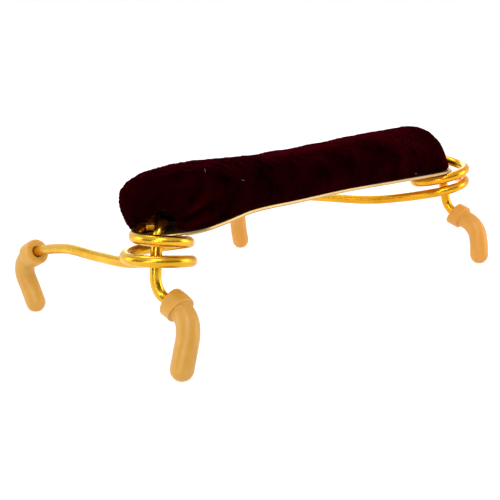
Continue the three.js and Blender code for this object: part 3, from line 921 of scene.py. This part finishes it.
def make_cushion():
    piece = cushion_form()
    surface = BVHTree.FromPolygons(
        [v.co for v in piece.data.vertices], [tuple(p.vertices) for p in piece.data.polygons]
    )
    remesh(piece, VOXEL)
    carve(piece, [notch(), *pockets()])
    remesh(piece, VOXEL)
    relax(piece, 5)
    points = points_of(piece.data)
    head = level(points)
    buried = np.array([surface.find_nearest(p)[3] > BURIED * MM for p in points])
    puff(piece, buried | (head[:, 2] - strip_top(head[:, 0]) < HEM_HEIGHT), SWELL_LIMIT)
    subdivision = piece.modifiers.new("finer", "SUBSURF")
    subdivision.levels = 1
    apply_modifiers(piece)
    fold(piece)
    raise_pile(piece)
    mark_lit_lining(piece, surface)
    finish_shading(piece, 180)
    return piece


LINT = [  # place in the level head, heading, length, thickness
    ((-77.1, -11.5, 20.7), -0.7, 1.9, 0.06), ((-63.1, -15.8, 15.4), 1.3, 1.7, 0.05),
    ((55.9, -9.3, 0.7), 0.4, 0.5, 0.28),
]


def thread_of_lint(surface, place, heading, length, thickness):
    """One short thread that bows up a little from the velvet at a place in the level head."""
    spot, normal, _, _ = surface.find_nearest(Vector(to_frame(tilt(place))))
    side = normal.cross(Vector((math.cos(heading), 0, math.sin(heading)))).normalized()
    steps = np.linspace(-0.5, 0.5, 9)
    points = []
    for t in steps:
        bow = 0.12 + 0.3 * (0.25 - t * t)
        points.append((spot + side * t * length * MM + normal * bow * MM) / MM - Vector(ORIGIN))
    radii = thickness * np.sqrt(np.clip(1.02 - (2 * steps) ** 2, 0.02, 1))
    return sweep("lint", np.array(points), radii, 8, LINT_GREY)


def lint(cushion):
    """A few pale fibres that the pile has picked up, joined as one piece."""
    surface = BVHTree.FromObject(cushion, bpy.context.evaluated_depsgraph_get())
    threads = [thread_of_lint(surface, *fibre) for fibre in LINT]
    joined = bmesh.new()
    for thread in threads:
        joined.from_mesh(thread.data)
    for thread in threads[1:]:
        bpy.data.objects.remove(thread)
    joined.to_mesh(threads[0].data)
    joined.free()
    finish_shading(threads[0], 60)
    return threads[0]


cushion = make_cushion()
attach(cushion, "frame")
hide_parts("velvet_cover", "foam_pad")
fibres = lint(cushion)
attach(fibres, "frame")

for side_name in SIDES:
    for node, material in (("wire_clip", GOLD[side_name]), ("clip_rivet", BRASS)):
        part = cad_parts[f"{side_name}_{node}"]
        part.data.materials.clear()
        part.data.materials.append(material)

# ---------------------------------------------------------------- floor, light and camera


def flat_material(name, colour, glow):
    m = Nodes(name)
    m.set(Roughness=0.9, Specular_IOR_Level=0.1, Emission_Strength=glow)
    m.shader.inputs["Base Color"].default_value = (*colour, 1)
    m.shader.inputs["Emission Color"].default_value = (1, 1, 1, 1)
    return m.material


FLOOR_NEAR, FLOOR_FAR, FLOOR_HALF_WIDTH = -8.0, 2.2, 8.0
WALL_HEIGHT = 2.5
BEND_RADIUS = 0.5
FLOOR_TURN = math.radians(-49.05)  # so that the wall stands square to the view
FLOOR_DROP = 0.0001


def studio_floor():
    """A pale floor that curves up into a wall behind."""
    profile = [(FLOOR_NEAR, 0.0), (0.8, 0.0)]
    for angle in np.radians(np.arange(-90, 1, 6)):
        along = FLOOR_FAR - BEND_RADIUS + BEND_RADIUS * math.cos(angle)
        profile.append((along, BEND_RADIUS + BEND_RADIUS * math.sin(angle)))
    profile.append((FLOOR_FAR, WALL_HEIGHT))
    turn = Matrix.Rotation(FLOOR_TURN, 4, "Z")
    vertices, faces = [], []
    for along, height in profile:
        for across in (-FLOOR_HALF_WIDTH, FLOOR_HALF_WIDTH):
            vertices.append(turn @ Vector((across, along, height - FLOOR_DROP)))
    for k in range(len(profile) - 1):
        faces.append((2 * k, 2 * k + 1, 2 * k + 3, 2 * k + 2))
    floor = new_piece("floor", vertices, faces, flat_material("floor_white", (0.35, 0.35, 0.35), 0.75))


MIDDLE = (0, 0, 0.03)
HEAD = (0, 0, 0.04)
LEFT_COIL = (-0.093, -0.040, 0.047)
LIGHTS = [  # name, place, target, size, power, colour
    ("key", (-0.5, -0.45, 0.75), MIDDLE, (0.35, 0.25), 2.2, (1, 1, 1)),
    ("front_panel", (-0.72, -0.40, 0.26), (-0.09, -0.04, 0.04), (0.26, 0.14), 1.0, (1, 1, 1)),
    ("low_fill", (-0.50, -0.15, 0.075), LEFT_COIL, (0.07, 0.05), 0.13, (1.0, 0.88, 0.74)),
    ("top", (0.1, 0.15, 0.8), MIDDLE, (0.5, 0.2), 2, (1, 1, 1)),
    ("back_panel", (0.55, 0.42, 0.30), (0.02, 0, 0.03), (0.4, 0.25), 1.2, (1.0, 0.92, 0.78)),
    ("right_panel", (0.42, -0.50, 0.16), HEAD, (0.3, 0.35), 1.3, (1.0, 0.88, 0.7)),
    ("left_panel", (-0.46, 0.40, 0.2), HEAD, (0.3, 0.35), 0.8, (1, 1, 1)),
]


def area_light(name, place, target, size, power, colour):
    data = bpy.data.lights.new(name, "AREA")
    data.shape = "RECTANGLE"
    data.size, data.size_y = size
    data.energy = power
    data.color = colour
    light = bpy.data.objects.new(name, data)
    bpy.context.scene.collection.objects.link(light)
    light.location = place
    light.rotation_euler = (Vector(target) - Vector(place)).to_track_quat("-Z", "Y").to_euler()


CAMERA_PLACE = (-339.977, -256.036, 115.857)
CAMERA_RIGHT = (0.6458, -0.7617, -0.0524)
CAMERA_DOWN = (-0.1953, -0.0985, -0.9758)
CAMERA_AHEAD = (0.7381, 0.6404, -0.2124)
CAMERA_LENS, CAMERA_SENSOR = 77.76, 36


def studio_camera():
    """A low viewpoint in front of the left end, turned a little about its own axis."""
    data = bpy.data.cameras.new("camera")
    data.lens, data.sensor_width = CAMERA_LENS, CAMERA_SENSOR
    data.clip_start, data.clip_end = 0.01, 20
    camera = bpy.data.objects.new("camera", data)
    bpy.context.scene.collection.objects.link(camera)
    axes = Matrix((CAMERA_RIGHT, [-v for v in CAMERA_DOWN], [-v for v in CAMERA_AHEAD])).transposed()
    camera.matrix_world = Matrix.Translation(to_frame(CAMERA_PLACE)) @ axes.to_4x4()
    bpy.context.scene.camera = camera


SKY = [(0.0, 0.5), (0.02, 0.01), (0.22, 0.02), (0.5, 0.75), (1.0, 0.85)]  # height, brightness


def studio_sky():
    """A bright ceiling over a dark band at the horizon, which gives the wire its dark middle line."""
    world = bpy.data.worlds.new("world")
    bpy.context.scene.world = world
    world.use_nodes = True
    nodes, links = world.node_tree.nodes, world.node_tree.links
    coordinate, split = nodes.new("ShaderNodeTexCoord"), nodes.new("ShaderNodeSeparateXYZ")
    ramp = nodes.new("ShaderNodeValToRGB")
    elements = ramp.color_ramp.elements
    while len(elements) < len(SKY):
        elements.new(0.5)
    for element, (position, grey) in zip(elements, SKY):
        element.position = position
        element.color = (grey, grey * 0.98, grey * 0.94, 1)
    links.new(coordinate.outputs["Generated"], split.inputs["Vector"])
    links.new(split.outputs["Z"], ramp.inputs["Fac"])
    links.new(ramp.outputs["Color"], nodes["Background"].inputs["Color"])
    nodes["Background"].inputs["Strength"].default_value = 1.0


studio_floor()
for light in LIGHTS:
    area_light(*light)
studio_camera()
studio_sky()
bpy.context.scene.view_settings.view_transform = "Standard"
